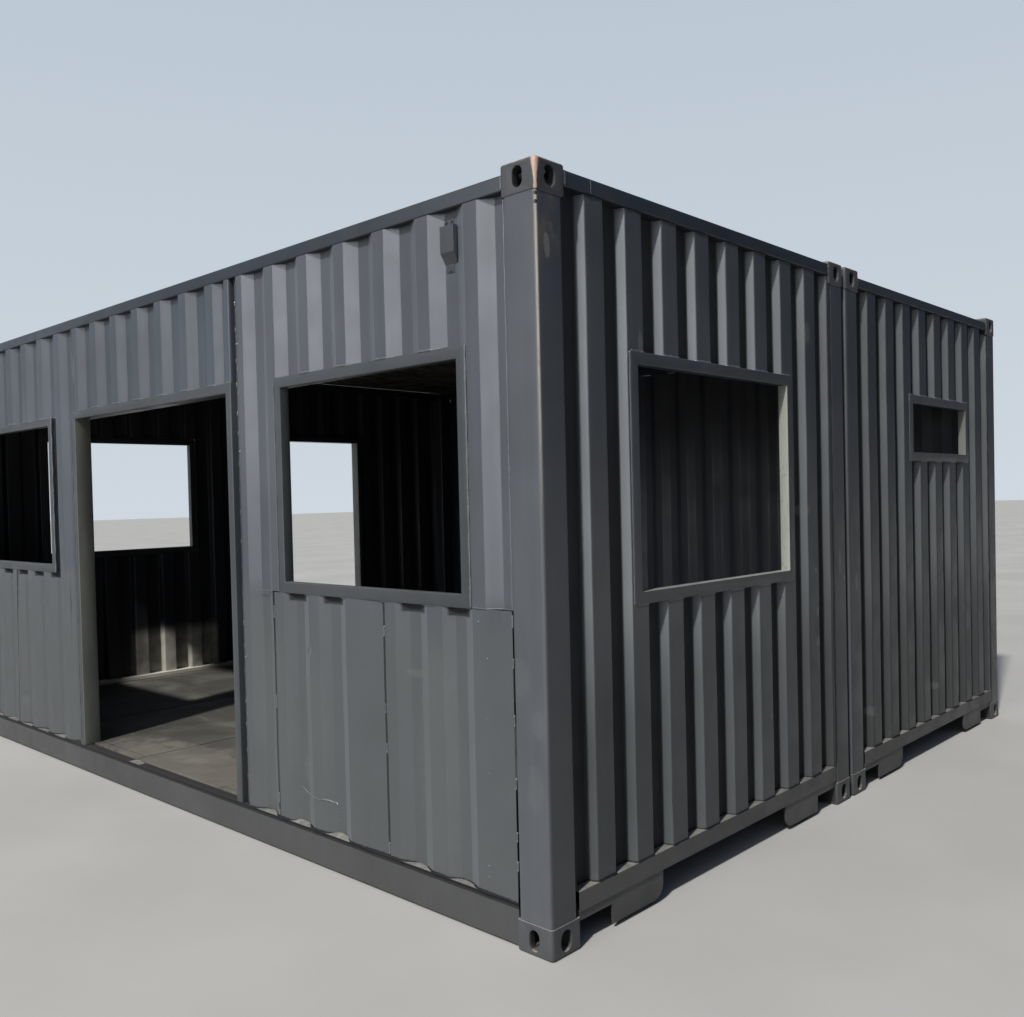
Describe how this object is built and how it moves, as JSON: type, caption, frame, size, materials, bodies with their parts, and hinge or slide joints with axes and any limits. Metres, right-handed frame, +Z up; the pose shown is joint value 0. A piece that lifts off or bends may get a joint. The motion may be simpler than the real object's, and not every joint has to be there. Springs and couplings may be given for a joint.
{
  "type": "shipping container cabin",
  "caption": "Open-fronted cabin of joined steel shipping containers side by side, with framed door and window openings cut in corrugated walls.",
  "frame": {"origin": "middle of the footprint, on the ground", "axes": "+X along the containers towards the end wall seen on the right of the picture, -Y out of the front wall with the wide doorway, +Z up"},
  "size_m": [6.058, 4.914, 2.896],
  "materials": {
    "wall_sheet": "satin charcoal paint on corrugated steel sheet",
    "frame_steel": "satin charcoal paint on steel sections",
    "corner_castings": "charcoal paint over cast steel, worn at the outer edges",
    "opening_frames": "satin charcoal paint on square tube",
    "roof_sheet": "satin charcoal paint, dusty",
    "under_frame": "dark matt underbody paint",
    "vent_covers": "satin charcoal paint",
    "floor_boards": "grey worn plywood"
  },
  "bodies": {
    "root": {"back_wall": "wall_sheet", "front_bottom_castings": "corner_castings", "front_bottom_side_rails": "frame_steel", "front_corner_posts": "frame_steel", "front_cross_members": "under_frame", "front_door_frame": "opening_frames", "front_end_sills": "frame_steel", "front_floor_boards": "floor_boards", "front_left_end_wall_middle": "wall_sheet", "front_left_end_wall_sides": "wall_sheet", "front_left_window_frame": "opening_frames", "front_right_end_wall_middle": "wall_sheet", "front_right_end_wall_sides": "wall_sheet", "front_right_window_frame": "opening_frames", "front_roof": "roof_sheet", "front_roof_end_plates": "roof_sheet", "front_top_castings": "corner_castings", "front_top_end_rails": "frame_steel", "front_top_side_rails": "frame_steel", "front_tunnel_plates": "frame_steel", "front_wall_over_openings": "wall_sheet", "front_wall_piers": "wall_sheet", "front_wall_under_windows": "wall_sheet", "left_end_door_frame": "opening_frames", "left_end_window_frame": "opening_frames", "middle_joint_strips": "frame_steel", "rear_bottom_castings": "corner_castings", "rear_bottom_side_rails": "frame_steel", "rear_corner_posts": "frame_steel", "rear_cross_members": "under_frame", "rear_end_sills": "frame_steel", "rear_floor_boards": "floor_boards", "rear_left_end_wall_middle": "wall_sheet", "rear_left_end_wall_sides": "wall_sheet", "rear_right_end_wall_middle": "wall_sheet", "rear_right_end_wall_sides": "wall_sheet", "rear_roof": "roof_sheet", "rear_roof_end_plates": "roof_sheet", "rear_top_castings": "corner_castings", "rear_top_end_rails": "frame_steel", "rear_top_side_rails": "frame_steel", "rear_tunnel_plates": "frame_steel", "right_end_window_frame": "opening_frames", "small_window_frame": "opening_frames", "vent_covers": "vent_covers"}
  },
  "joints": []
}
